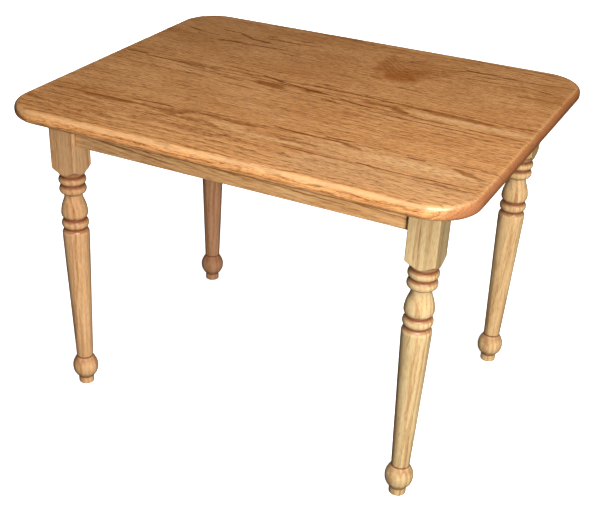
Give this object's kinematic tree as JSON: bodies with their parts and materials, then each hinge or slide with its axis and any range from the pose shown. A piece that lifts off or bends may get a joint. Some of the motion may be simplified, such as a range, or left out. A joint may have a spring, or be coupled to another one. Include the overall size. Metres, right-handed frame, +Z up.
{
  "type": "miniature dining table",
  "caption": "Small rectangular oak dining table with rounded corners and edges, shallow aprons and turned legs with square blocks, rings, tapered shafts and ball feet.",
  "frame": {"origin": "on the floor, midway between the four feet, which is also the middle of the table's box at its bottom", "axes": "+X along the length of the top to the right, -Y to the long front side, +Z up"},
  "size_m": [0.508, 0.412, 0.36],
  "materials": {
    "top_oak": "honey-toned plain-sawn oak, clear semi-gloss lacquer",
    "apron_oak": "honey-toned oak, clear satin lacquer",
    "leg_oak": "turned oak, grain along the leg, clear semi-gloss lacquer",
    "brace_wood": "bare sawn hardwood, unlacquered",
    "zinc_steel": "bright zinc plate",
    "screw_steel": "yellow zinc plate"
  },
  "bodies": {
    "root": {"top_board_1": "top_oak", "top_board_2": "top_oak", "top_board_3": "top_oak", "top_board_4": "top_oak", "top_board_5": "top_oak", "apron_front": "apron_oak", "apron_rear": "apron_oak", "apron_left": "apron_oak", "apron_right": "apron_oak", "leg_front_left": "leg_oak", "corner_brace_front_left": "brace_wood", "hanger_bolt_front_left": "zinc_steel", "bolt_washer_front_left": "zinc_steel", "bolt_nut_front_left": "zinc_steel", "brace_screw_front_left_1": "screw_steel", "top_screw_front_left_1": "screw_steel", "brace_screw_front_left_2": "screw_steel", "top_screw_front_left_2": "screw_steel", "leg_front_right": "leg_oak", "corner_brace_front_right": "brace_wood", "hanger_bolt_front_right": "zinc_steel", "bolt_washer_front_right": "zinc_steel", "bolt_nut_front_right": "zinc_steel", "brace_screw_front_right_1": "screw_steel", "top_screw_front_right_1": "screw_steel", "brace_screw_front_right_2": "screw_steel", "top_screw_front_right_2": "screw_steel", "leg_rear_right": "leg_oak", "corner_brace_rear_right": "brace_wood", "hanger_bolt_rear_right": "zinc_steel", "bolt_washer_rear_right": "zinc_steel", "bolt_nut_rear_right": "zinc_steel", "brace_screw_rear_right_1": "screw_steel", "top_screw_rear_right_1": "screw_steel", "brace_screw_rear_right_2": "screw_steel", "top_screw_rear_right_2": "screw_steel", "leg_rear_left": "leg_oak", "corner_brace_rear_left": "brace_wood", "hanger_bolt_rear_left": "zinc_steel", "bolt_washer_rear_left": "zinc_steel", "bolt_nut_rear_left": "zinc_steel", "brace_screw_rear_left_1": "screw_steel", "top_screw_rear_left_1": "screw_steel", "brace_screw_rear_left_2": "screw_steel", "top_screw_rear_left_2": "screw_steel"}
  },
  "joints": []
}
